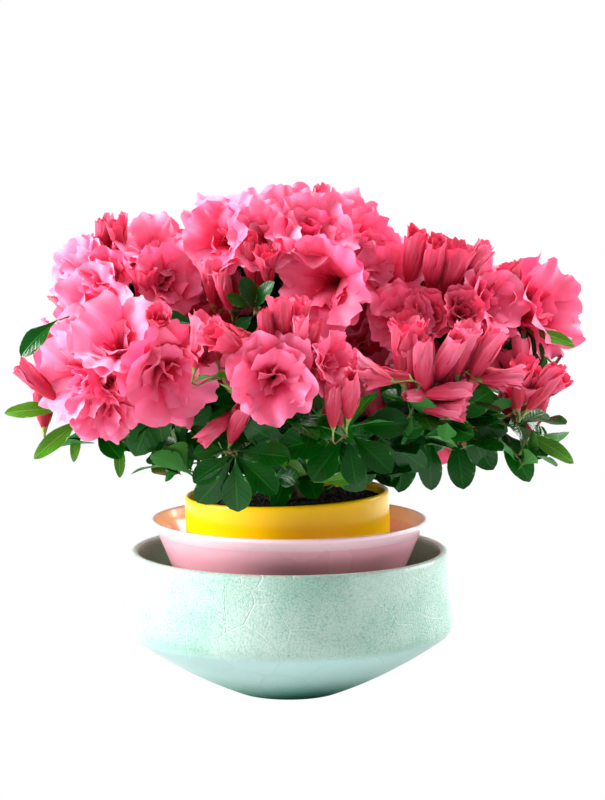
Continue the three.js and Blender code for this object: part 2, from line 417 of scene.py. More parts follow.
# Each kind of bloom: its maker, how many shapes are made of it, its own size across or along, and how far its
# middle lies from its foot.
KINDS = {
    "open": (open_double, 8, 64, 22),
    "funnel": (funnel, 6, 64, 25),
    "rosette": (rosette, 4, 44, 16),
    "bell": (bell, 6, 38, 18),
    "loose": (loose_bud, 6, 38, 18),
    "tight": (tight_bud, 4, 36, 17),
}


# ---------------------------------------------------------------- materials


def material(name, build):
    """build(nodes) returns the shader's sockets and, for a thin sheet, how much light passes and its tint."""
    made = bpy.data.materials.new(name)
    made.use_nodes = True
    made.node_tree.nodes.clear()
    nodes = Nodes(made.node_tree)
    sockets, through = build(nodes)
    shader = nodes.add("ShaderNodeBsdfPrincipled", inputs=sockets)["BSDF"]
    if through:
        thin = nodes.add("ShaderNodeBsdfTranslucent", inputs={"Color": through[1]})["BSDF"]
        shader = nodes.add("ShaderNodeMixShader", inputs=[through[0], shader, thin])["Shader"]
    nodes.add("ShaderNodeOutputMaterial", inputs={"Surface": shader})
    return made


def sheet_places(nodes):
    """A petal's or leaf's own u and v, and which column of the pattern it takes."""
    uv = nodes.add("ShaderNodeUVMap", {"uv_map": "OFBake"})["UV"]
    split = nodes.add("ShaderNodeSeparateXYZ", inputs={"Vector": uv})
    across = split["X"] / TILE
    column = across.math("GREATER_THAN", 1.5)
    return (across - column * 2 - MARGIN) / FILLED, (split["Y"] / TILE - MARGIN) / FILLED, column


def petal_material(name, edge, body, throat, stripes=0.2, through=0.28):
    """Petals paler to their edge, deep in the throat, with fine veins. The deep throat is partly the petals'
    own colour and partly painted shade in the hollows where the petals shade each other.
    """

    def build(nodes):
        u, v, _ = sheet_places(nodes)
        side = (u - 0.5).math("ABSOLUTE") * 2
        fan = (u - 0.5) * (46 - v * 16)
        veins = (fan.math("SINE") * 0.5 + 0.5) ** 3
        spot = nodes.add("ShaderNodeCombineXYZ", inputs=[u * 5, v * 3, 0.5])["Vector"]
        blotch = nodes.add("ShaderNodeTexNoise", inputs={"Vector": spot, "Scale": 1.6, "Detail": 3.0})["Fac"]
        # Painted shade in part: the throat colour reaches up into the petal's hollow, where the petals shade
        # each other, over the throat's own deeper colour.
        deep = 1 - nodes.ease(v + (blotch - 0.5) * 0.3, 0.2, 0.78)
        edge_on = nodes.ease(v, 0.5, 1.0) * 0.6 + nodes.ease(side, 0.55, 1.0) * 0.4
        pale = (edge_on + (blotch - 0.5) * 0.7).clamped()
        tint = nodes.mix(pale, body, edge)
        tint = nodes.mix(deep * 0.9, tint, throat)
        tint = nodes.mix(veins * (stripes * 0.6 + deep * stripes), tint, throat)
        relief = nodes.relief(0.25, 0.0004, veins * 0.5 + blotch)
        sockets = {
            "Base Color": tint,
            "Roughness": 0.5,
            "Specular IOR Level": 0.35,
            "Sheen Weight": 0.15,
            "Sheen Roughness": 0.4,
            "Normal": relief,
        }
        return sockets, (through, body)

    return material(name, build)


def leaf_material(name, face, rib, back):
    """Glossy leaves with a pale rib, faint side veins and a paler underside."""

    def build(nodes):
        u, v, under = sheet_places(nodes)
        side = (u - 0.5).math("ABSOLUTE") * 2
        middle = 1 - nodes.ease(side, 0.02, 0.11)
        veins = ((v * 60 - side * 13).math("SINE") * 0.5 + 0.5) ** 6
        veins = veins * nodes.ease(side, 0.03, 0.2) * (1 - side * 0.6)
        tint = nodes.mix(middle * 0.4, face, rib)
        tint = nodes.mix(veins * 0.12, tint, rib)
        tint = nodes.mix(nodes.ease(side, 0.88, 1.0) * 0.3, tint, rib)
        tint = nodes.mix(under, tint, back)
        relief = nodes.relief(0.35, 0.0005, middle * -0.8 - veins * 0.5)
        sockets = {
            "Base Color": tint,
            "Roughness": 0.27 + under * 0.3,
            "Specular IOR Level": 0.25,
            "Normal": relief,
        }
        return sockets, None

    return material(name, build)


def own_noise(nodes, scale, detail=4.0):
    """Noise fixed to the object."""
    place = nodes.add("ShaderNodeTexCoord")["Object"]
    return nodes.add("ShaderNodeTexNoise", inputs={"Vector": place, "Scale": scale, "Detail": detail})["Fac"]


def bark_material(name, light, dark):
    def build(nodes):
        grain = own_noise(nodes, 260.0, 6.0)
        patch = own_noise(nodes, 60.0)
        tint = nodes.mix(nodes.ease(grain, 0.35, 0.7), dark, light)
        tint = nodes.mix(nodes.ease(patch, 0.5, 0.75) * 0.5, tint, colour(122, 112, 84))
        relief = nodes.relief(0.6, 0.0006, grain)
        return {"Base Color": tint, "Roughness": 0.85, "Normal": relief}, None

    return material(name, build)


def soil_material():
    def build(nodes):
        grain = own_noise(nodes, 420.0, 8.0)
        tint = nodes.mix(nodes.ease(grain, 0.3, 0.75), colour(14, 10, 7), colour(52, 38, 27))
        relief = nodes.relief(0.8, 0.001, grain)
        return {"Base Color": tint, "Roughness": 0.95, "Normal": relief}, None

    return material("moist peat", build)


def crackled_glaze(rim):
    """Milky glaze crazed in fine green-blue lines, smoother under the shoulder and worn at the rim, with
    painted shade towards the foot and on the inside.
    """

    def build(nodes):
        place = nodes.add("ShaderNodeTexCoord")["Object"]
        height = nodes.add("ShaderNodeSeparateXYZ", inputs={"Vector": place})["Z"] / MM
        drift = nodes.add("ShaderNodeTexNoise", inputs={"Vector": place, "Scale": 40.0, "Detail": 3.0})
        wander = [drift["Color"], (0.004, 0.004, 0.004), place]
        bent = nodes.add("ShaderNodeVectorMath", {"operation": "MULTIPLY_ADD"}, wander)["Vector"]

        def cracks(size, width):
            cells = {"Vector": bent, "Scale": 1 / (size * MM)}
            reach = nodes.add("ShaderNodeTexVoronoi", {"feature": "DISTANCE_TO_EDGE"}, cells)["Distance"]
            return 1 - nodes.ease(reach, 0.0, width)

        cloud = own_noise(nodes, 18.0, 5.0)
        speck = own_noise(nodes, 700.0, 3.0)
        fine = cracks(1.9, 0.16)
        middling = cracks(5.0, 0.07)
        wide = cracks(26.0, 0.018)
        upper = nodes.ease(height, 36.0, 44.0)
        thick = nodes.ease(cloud, 0.35, 0.65)
        pool = nodes.ease(cloud + (1 - upper) * 0.12, 0.42, 0.7)
        tint = nodes.mix(pool, colour(180, 205, 194), colour(152, 188, 173))
        lines = (fine * nodes.ease(speck, 0.42, 0.6) * (0.35 + thick * 0.5) * (0.25 + upper * 0.75)).clamped()
        tint = nodes.mix(lines, tint, colour(88, 158, 144))
        tint = nodes.mix(middling * 0.35 * (0.3 + upper * 0.7), tint, colour(120, 182, 168))
        tint = nodes.mix(wide * 0.16, tint, colour(232, 240, 228))
        tint = nodes.mix((1 - upper) * 0.7, tint, colour(190, 228, 226))
        # Painted shade in part: the wall turns deep green towards the foot, partly a deeper glaze and partly
        # the shade by the floor.
        tint = nodes.mix((1 - nodes.ease(height, 1.0, 24.0)) * 0.95, tint, colour(22, 150, 122))
        # Painted shade: faces that look inward, the inside of the bowl, take a dull grey green, as the inside
        # lies in shade under the pink bowl and the plant.
        normal = nodes.add("ShaderNodeNewGeometry")["True Normal"]
        outward = nodes.add("ShaderNodeVectorMath", {"operation": "DOT_PRODUCT"}, [place, normal])["Value"]
        tint = nodes.mix((1 - nodes.ease(outward, -0.02, 0.0)) * 0.85, tint, colour(104, 140, 108))
        lip = nodes.ease(height, rim - 1.8, rim - 0.6) * nodes.ease(own_noise(nodes, 120.0), 0.42, 0.6)
        tint = nodes.mix(lip * 0.55, tint, colour(186, 168, 148))
        relief = nodes.relief(0.5, 0.0007, fine * upper * -0.5 - wide * 0.8 + cloud + speck * 0.3)
        sockets = {
            "Base Color": tint,
            "Roughness": 0.42 - (1 - upper) * 0.14 + fine * 0.15,
            "Coat Weight": 0.25,
            "Coat Roughness": 0.15,
            "Normal": relief,
        }
        return sockets, None

    return material("crackled glaze", build)


def pink_glaze(lip):
    """Milky pink, paler and cooler in the band under the rim, and rosier and darker down the wall, in part
    painted shade where it sinks into the crackled bowl.
    """

    def build(nodes):
        place = nodes.add("ShaderNodeTexCoord")["Object"]
        height = nodes.add("ShaderNodeSeparateXYZ", inputs={"Vector": place})["Z"] / MM
        cloud = own_noise(nodes, 14.0, 3.0)
        band = nodes.ease(height, lip - 1.0, lip + 0.6)
        # Painted shade in part: the wall darkens and turns rosier downwards, towards where it sits in the
        # crackled bowl's shade.
        low = 1 - nodes.ease(height + (cloud - 0.5) * 6, lip - 34.0, lip)
        tint = nodes.mix(low, colour(236, 174, 188), colour(208, 120, 128))
        tint = nodes.mix(band, tint, colour(238, 200, 210))
        ripple = own_noise(nodes, 30.0, 2.0)
        relief = nodes.relief(0.12, 0.001, ripple)
        sockets = {
            "Base Color": tint,
            "Roughness": 0.22 + cloud * 0.1,
            "Coat Weight": 0.4,
            "Coat Roughness": 0.08,
            "Subsurface Weight": 0.15,
            "Subsurface Radius": (0.01, 0.004, 0.006),
            "Subsurface Scale": 1.0,
            "Normal": relief,
        }
        return sockets, None

    return material("milky pink glaze", build)


def yellow_glaze():
    def build(nodes):
        cloud = own_noise(nodes, 22.0, 3.0)
        tint = nodes.mix(cloud, colour(252, 206, 0), colour(242, 184, 0))
        ripple = own_noise(nodes, 45.0, 2.0)
        relief = nodes.relief(0.1, 0.001, ripple)
        sockets = {
            "Base Color": tint,
            "Roughness": 0.2 + cloud * 0.1,
            "Specular IOR Level": 0.2,
            "Coat Weight": 0.06,
            "Coat Roughness": 0.06,
            "Normal": relief,
        }
        return sockets, None

    return material("yellow glaze", build)


def floor_material():
    def build(nodes):
        tint = nodes.mix(own_noise(nodes, 3.0, 2.0), (0.62, 0.62, 0.62, 1), (0.58, 0.58, 0.58, 1))
        return {"Base Color": tint, "Roughness": 0.8}, None

    return material("pale floor", build)


# ---------------------------------------------------------------- bowls


def turned_geometry(nodes, given):
    """A grid that follows a profile one way and goes round the axis the other way, closed into a solid."""
    grid = nodes.add(
        "GeometryNodeMeshGrid",
        inputs={"Size X": 1.0, "Size Y": 1.0, "Vertices X": given["Steps"], "Vertices Y": given["Rings"]},
    )
    place = nodes.add("GeometryNodeInputPosition")["Position"]
    split = nodes.add("ShaderNodeSeparateXYZ", inputs={"Vector": place})
    profile = nodes.add("GeometryNodeMeshToCurve", inputs={"Mesh": given["Geometry"]})["Curve"]
    sample = nodes.add(
        "GeometryNodeSampleCurve",
        {"mode": "FACTOR", "use_all_curves": True},
        {"Curves": profile, "Factor": split["Y"] + 0.5},
    )["Position"]
    at = nodes.add("ShaderNodeSeparateXYZ", inputs={"Vector": sample})
    angle = (split["X"] + 0.5) * (2 * math.pi)
    place = nodes.add(
        "ShaderNodeCombineXYZ",
        inputs=[at["X"] * angle.math("COSINE"), at["X"] * angle.math("SINE"), at["Z"]],
    )["Vector"]
    bent = nodes.add("GeometryNodeSetPosition", inputs={"Geometry": grid["Mesh"], "Position": place})
    seam = {"Geometry": bent["Geometry"], "Distance": 0.00002}
    closed = nodes.add("GeometryNodeMergeByDistance", inputs=seam)
    return nodes.add("GeometryNodeSetShadeSmooth", inputs={"Geometry": closed["Geometry"]})["Geometry"]


turned_tree = geometry_tree("turned", {"Steps": ("Int", 145), "Rings": ("Int", 160)}, turned_geometry)


def bezier(start, handle, end, steps):
    t = np.linspace(0, 1, steps + 1)[:, None]
    return (1 - t) ** 2 * np.array(start) + 2 * t * (1 - t) * np.array(handle) + t**2 * np.array(end)


def rounded(centre, radius, first, last, steps=8):
    angle = np.radians(np.linspace(first, last, steps + 1))
    return np.stack([centre[0] + radius * np.cos(angle), centre[1] + radius * np.sin(angle)], -1)


def turned(name, profile, finish, rings=200):
    """A solid of revolution from (radius, height) points that run from the axis, round the wall and back."""
    path = np.concatenate(profile)
    points = np.stack([path[:, 0], 0 * path[:, 0], path[:, 1]], -1) * MM
    mesh = bpy.data.meshes.new(name)
    mesh.from_pydata(points.tolist(), [(i, i + 1) for i in range(len(points) - 1)], [])
    piece = link(bpy.data.objects.new(name, mesh))
    return worked(piece, turned_tree, rings=rings, material=finish)


def outer_bowl():
    _, (wide, _, tall) = node_box("outer_bowl")
    wall, foot, belly, shoulder = 5.5, 33.5, 102.0, 38.0
    rim = (wide - 3.8 - wall / 2, tall - wall / 2)
    inside = (belly - wall, shoulder + wall)
    profile = [
        [(0.0, 1.2), (foot - 5, 1.2), (foot - 3, 0.0), (foot, 0.0)],
        bezier((foot, 0.0), (belly * 0.667, shoulder * 0.36), (belly, shoulder), 24)[1:],
        bezier((belly, shoulder), (wide + 1.0, shoulder + 4.5), (wide, shoulder + 13), 10)[1:],
        rounded(rim, wall / 2, 0, 180),
        bezier((wide - wall, shoulder + 13), (wide - wall - 0.5, shoulder + 8), inside, 4),
        bezier(inside, (belly * 0.667, shoulder * 0.36 + wall), (40, 6), 12)[1:],
        [(0.0, 6.0)],
    ]
    piece = turned("mint_bowl", profile, crackled_glaze(tall))
    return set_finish(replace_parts(piece, "outer_bowl"), "outer_bowl")


def inner_bowl():
    (_, _, foot), (wide, _, top) = node_box("inner_bowl")
    wall, heel, heel_height, slope, lip = 2.5, 46.0, 13.0, 0.417, top - 8.0
    neck = heel + slope * (lip - 12)
    profile = [
        [(0.0, foot), (31.0, foot), (34.0, foot + 0.3)],
        bezier((34.0, foot + 0.3), (42.5, foot + 1.5), (heel, heel_height), 8)[1:],
        [(neck, lip)],
        bezier((neck, lip), (neck + 0.7, lip + 0.8), (neck + 1.2, lip + 1.6), 4)[1:],
        rounded((wide - wall / 2, top - wall / 2), wall / 2, -10, 190),
        [(neck + 1.2 - wall, lip + 1.6), (neck - wall, lip)],
        [(heel - wall, heel_height)],
        bezier((heel - wall, heel_height), (40.5, foot + wall + 1.2), (34.0, foot + wall), 8)[1:],
        [(0.0, foot + wall)],
    ]
    piece = turned("pink_bowl", profile, pink_glaze(lip))
    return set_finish(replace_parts(piece, "inner_bowl"), "inner_bowl")


# The grow pot's lean, the radius of its foot, and how high and how far aside that stands.
LEAN, POT_BASE, POT_FOOT, POT_ASIDE = math.radians(2), 35.0, 10.3, 2.6


def grow_pot():
    base, wide, wall = POT_BASE, 65.0, 3.0
    top, bend = 127.6 - POT_FOOT, 74.0 - POT_FOOT
    profile = [
        [(0.0, 0.6), (base - 4, 0.6), (base - 3, 0.0), (base - 1, 0.0), (base, 0.6)],
        [(wide - 0.6, bend - 1.3), (wide, bend + 0.6)],
        [(wide, bend + 14), (wide, bend + 28)],
        rounded((wide - wall / 2, top - wall / 2), wall / 2, 0, 180),
        [(wide - wall, bend + 28), (wide - wall, bend + 1)],
        [(base - wall + 1, wall), (0.0, wall)],
    ]
    piece = turned("yellow_pot", profile, yellow_glaze())
    set_in_lean(piece)
    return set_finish(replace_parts(piece, "grow_pot"), "grow_pot")


def set_in_lean(piece):
    """Moves an upright pot's mesh into the lean and the place of the CAD pot."""
    foot = np.array([POT_ASIDE, 0.0, node_box("grow_pot")[0][2] + POT_BASE * math.sin(LEAN)])
    place = Matrix.Translation(Vector(foot * MM)) @ Matrix.Rotation(-LEAN, 4, "Y")
    piece.data.transform(place)


def scattered_geometry(nodes, given):
    """Crumbs dropped over the faces that look up."""
    points = nodes.add(
        "GeometryNodeDistributePointsOnFaces",
        {"distribute_method": "RANDOM"},
        {"Mesh": given["Geometry"], "Density": given["Density"], "Seed": 4},
    )
    crumb = nodes.add("GeometryNodeMeshIcoSphere", inputs={"Radius": 1.0, "Subdivisions": 1})["Mesh"]
    sizes = {"Min": given["Smallest"], "Max": given["Largest"], "Seed": 5}
    bulk = nodes.add("FunctionNodeRandomValue", {"data_type": "FLOAT"}, sizes)["Value"]
    turns = {"Min": (0, 0, 0), "Max": (6, 6, 6), "Seed": 6}
    turn = nodes.add("FunctionNodeRandomValue", {"data_type": "FLOAT_VECTOR"}, turns)["Value"]
    rotation = nodes.add("FunctionNodeEulerToRotation", inputs=[turn])["Rotation"]
    placed = nodes.add(
        "GeometryNodeInstanceOnPoints",
        inputs={"Points": points["Points"], "Instance": crumb, "Rotation": rotation, "Scale": bulk},
    )["Instances"]
    return nodes.add("GeometryNodeJoinGeometry", inputs=[placed])["Geometry"]


scatter_tree = geometry_tree(
    "scattered crumbs",
    {"Density": ("Float", 1.0), "Smallest": ("Float", 0.0006), "Largest": ("Float", 0.002)},
    scattered_geometry,
)


def soil():
    peat = soil_material()
    radius, top = 61.7, 121.5 - POT_FOOT
    side = [(0.0, 3.4), (32.0, 3.4), (radius, 66.0)]
    waves = [(1, -2), (0.88, 0.9), (0.62, -0.9), (0.36, 0), (0, 0)]
    body = turned("peat", [side, [(radius * out, top + rise) for out, rise in waves]], peat, rings=60)
    set_in_lean(body)
    spread = [(radius - 1.5, top - 1), (radius * 0.88, top + 0.6), (0, top)]
    crumbs = turned("peat_crumbs", [spread], peat, rings=12)
    crumbs.data.flip_normals()
    worked(crumbs, scatter_tree, density=150000.0, material=peat)
    set_in_lean(crumbs)
    return [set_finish(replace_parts(piece, "soil"), "soil") for piece in (body, crumbs)]


# ---------------------------------------------------------------- limbs and twigs


def limb_geometry(nodes, given):
    """Round limbs along lines whose points hold their thickness, with relief pushed out of the bark."""
    line = nodes.add("GeometryNodeMeshToCurve", inputs={"Mesh": given["Geometry"]})["Curve"]
    ring = nodes.add("GeometryNodeCurvePrimitiveCircle", inputs={"Resolution": given["Sides"], "Radius": 1.0})
    along = {"Curve": line, "Profile Curve": ring["Curve"], "Scale": nodes.named("FLOAT", "thickness")}
    tube = nodes.add("GeometryNodeCurveToMesh", inputs={**along, "Fill Caps": True})["Mesh"]
    normal = nodes.add("GeometryNodeInputNormal")["Normal"]
    grain = nodes.add("ShaderNodeTexNoise", inputs={"Scale": given["Grain"], "Detail": 4.0})["Fac"] - 0.5
    push = nodes.add(
        "ShaderNodeVectorMath", {"operation": "SCALE"}, {"Vector": normal, "Scale": grain * given["Relief"]}
    )["Vector"]
    rough = nodes.add("GeometryNodeSetPosition", inputs={"Geometry": tube, "Offset": push})["Geometry"]
    return nodes.add("GeometryNodeSetShadeSmooth", inputs={"Geometry": rough})["Geometry"]


limb_tree = geometry_tree(
    "limbs",
    {"Sides": ("Int", 6), "Grain": ("Float", 300.0), "Relief": ("Float", 0.0)},
    limb_geometry,
)


def limbs(name, lines, sides, relief, finish):
    """lines is a list of (points, thickness) in millimetres."""
    points, edges, thickness = [], [], []
    for path, thick in lines:
        start = len(points)
        points += list(path)
        thickness += list(thick)
        edges += [(start + i, start + i + 1) for i in range(len(path) - 1)]
    mesh = bpy.data.meshes.new(name)
    mesh.from_pydata((np.array(points) * MM).tolist(), edges, [])
    mesh.attributes.new("thickness", "FLOAT", "POINT").data.foreach_set("value", np.array(thickness) * MM)
    piece = link(bpy.data.objects.new(name, mesh))
    return worked(piece, limb_tree, sides=sides, relief=relief, material=finish)


def arch(start, start_way, end, end_way, steps):
    """A smooth line from start to end that leaves and arrives in the given directions."""
    reach = np.linalg.norm(end - start) * 0.38
    t = np.linspace(0, 1, steps + 1)[:, None]
    return (
        (1 - t) ** 3 * start
        + 3 * t * (1 - t) ** 2 * (start + start_way * reach)
        + 3 * t**2 * (1 - t) * (end - end_way * reach)
        + t**3 * end
    )


def unit(vector):
    vector = np.asarray(vector, float)
    return vector / max(np.linalg.norm(vector), 1e-9)


trunk_low, trunk_high = node_box("trunk")
FORK = np.array([0.0, 0.0, trunk_high[2]])
POT_TOP = node_box("grow_pot")[1][2]


class Wood:
    """The growing wood: points, each with the point that it grew from."""

    def __init__(self):
        self.points, self.parents, self.paths = [], [], []

    def grow(self, path, parent):
        """Adds a limb that leaves an earlier point, and remembers it as one line."""
        line = [parent] if parent is not None else []
        for point in path:
            self.points.append(np.array(point))
            self.parents.append(line[-1] if line else -1)
            line.append(len(self.points) - 1)
        self.paths.append(line)

    def reach(self, target, arriving, dice):
        """Sends a twig to the target from the point that serves it best: near, and on the way out."""
        here = np.array(self.points)
        away = target - here
        distance = np.linalg.norm(away, axis=1)
        inward = np.linalg.norm(here - FORK, axis=1)
        detour = distance + 0.55 * inward + np.where(inward > np.linalg.norm(target - FORK), 60, 0)
        best = int(np.argmin(detour))
        start = self.points[best]
        leaving = unit(0.6 * unit(start - FORK + 1e-3) + 0.8 * unit(target - start) + 0.25 * UP)
        steps = max(3, int(np.linalg.norm(target - start) / 7))
        path = arch(start, leaving, target, unit(arriving), steps)[1:]
        wobble = dice.normal(0, 0.5, path.shape) * np.sin(np.linspace(0, np.pi, len(path)))[:, None]
        self.grow(path + wobble, best)

    def thickness(self, tip):
        """Every point carries all the tips beyond it, and thickens with their number."""
        load = np.zeros(len(self.points))
        ends = set(range(len(self.points))) - set(self.parents)
        for end in ends:
            load[end] = 1
        for i in range(len(self.points) - 1, -1, -1):
            if self.parents[i] >= 0:
                load[self.parents[i]] += load[i]
        return tip * np.maximum(load, 1) ** 0.4


# ---------------------------------------------------------------- planting


def planted_geometry(nodes, given):
    """Puts a shape from the library on each point, by the point's own kind, turn and size."""
    library = nodes.add(
        "GeometryNodeCollectionInfo",
        inputs={"Collection": given["Library"], "Separate Children": True, "Reset Children": True},
    )["Instances"]
    turn = nodes.named("FLOAT_VECTOR", "turn")
    rotation = nodes.add("FunctionNodeEulerToRotation", inputs=[turn])["Rotation"]
    return nodes.add(
        "GeometryNodeInstanceOnPoints",
        inputs={
            "Points": given["Geometry"],
            "Instance": library,
            "Pick Instance": True,
            "Instance Index": nodes.named("INT", "kind"),
            "Rotation": rotation,
            "Scale": nodes.named("FLOAT", "size"),
        },
    )["Instances"]


plant_tree = geometry_tree("planted", {"Library": ("Collection", None)}, planted_geometry)


def frame_of(way, roll):
    """The turn that points a shape's own Z along way, then rolls it about that."""
    quaternion = Vector(way).to_track_quat("Z", "Y").to_matrix() @ Matrix.Rotation(roll, 3, "Z")
    return quaternion.to_euler()


def leaf_frame(way, face):
    """The turn that points a leaf's own X along way and its face, own Z, as near to face as it can."""
    x = Vector(way).normalized()
    z = (Vector(face) - x * Vector(face).dot(x)).normalized()
    y = z.cross(x)
    return Matrix((x, y, z)).transposed().to_euler()


# No piece is planted with more than this.
MOST_TRIANGLES = 180_000


def plant(name, spots, shapes, finish, slot, stands_for):
    """spots is a list of (point, turn, size, kind), shared out among pieces that each stay light enough."""
    weights = [2 * len(item.data.polygons) for item in shapes.objects]
    sums = np.cumsum([weights[s[3]] for s in spots])
    parts = int(sums[-1] // MOST_TRIANGLES) + 1
    for part in range(parts):
        own = [s for s, total in zip(spots, sums) if (total - 1) * parts // sums[-1] == part]
        mesh = bpy.data.meshes.new(name)
        mesh.from_pydata([tuple(np.array(s[0]) * MM) for s in own], [], [])
        turns = np.array([tuple(s[1]) for s in own], np.float32)
        mesh.attributes.new("turn", "FLOAT_VECTOR", "POINT").data.foreach_set("vector", turns.ravel())
        mesh.attributes.new("size", "FLOAT", "POINT").data.foreach_set("value", [s[2] for s in own])
        mesh.attributes.new("kind", "INT", "POINT").data.foreach_set("value", [s[3] for s in own])
        piece = link(bpy.data.objects.new(name if parts == 1 else f"{name}_{part + 1}", mesh))
        piece = worked(piece, plant_tree, library=shapes, material=finish)
        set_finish(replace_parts(piece, *stands_for), slot)


def library(name, makers):
    """A collection of shapes, each made by a function. Its order is the order of the makers."""
    collection = bpy.data.collections.new(name)
    bpy.context.scene.collection.children.link(collection)
    for number, maker in enumerate(makers):
        shape = Shape()
        maker(shape, np.random.default_rng(100 + number))
        shape.piece(f"{name}_{number:02d}", collection)
    return collection


def put_away(collection):
    for item in list(collection.objects):
        bpy.data.objects.remove(item)
    bpy.data.collections.remove(collection)


# ---------------------------------------------------------------- leaves


def leaf(shape, dice, length, width, droop, fold, blunt):
    """A leaf with a short stalk, broadest past its middle, folded along its rib, as a thin closed blade."""
    along = np.linspace(0, 1, 11)
    u, v = np.meshgrid(np.linspace(-1, 1, 7), 0.5 * along + 0.5 * np.sin(0.5 * np.pi * along), indexing="ij")
    half = 0.5 * width * np.sin(np.pi * v**blunt) ** 0.56 * (0.22 + 0.78 * smooth(v, 0, 0.6))
    half = np.maximum(half, 0.4)
    angle = np.radians(14 - droop * v**1.2)
    step = np.diff(v, axis=1, prepend=0) * length
    x = np.cumsum(np.cos(angle) * step, axis=1)
    z = np.cumsum(np.sin(angle) * step, axis=1)
    side = u * half
    cup = np.abs(side) * math.tan(math.radians(fold)) * (1 - 0.5 * v)
    ripple = 0.5 * np.sin(x * 0.4 + dice.uniform(0, 6)) * np.abs(u)
    top = np.stack([x, side, z + cup + ripple], -1)
    inside = 0.22 * (1 - np.abs(u) ** 4)
    inside[:, [0, -1]] = 0
    under = top - np.stack([0 * x, 0 * x, inside], -1)
    shape.sheet(top, tile((u + 1) / 2, v))
    shape.sheet(under, tile((u + 1) / 2, v, 1), flip=True)


# Each row is a leaf: its length, width, droop, fold and how far past its middle it is broadest. The rows from
# NARROW on are for young leaves.
LEAVES = [
    (38, 19, 38, 14, 1.5), (35, 18, 20, 18, 1.35), (40, 20, 55, 8, 1.6),
    (33, 17, 10, 12, 1.45), (42, 18, 35, 20, 1.3), (30, 16, 30, 10, 1.7),
    (40, 11, 24, 16, 1.2), (36, 10, 30, 14, 1.1),
]
NARROW = 6


# ---------------------------------------------------------------- where the blooms are

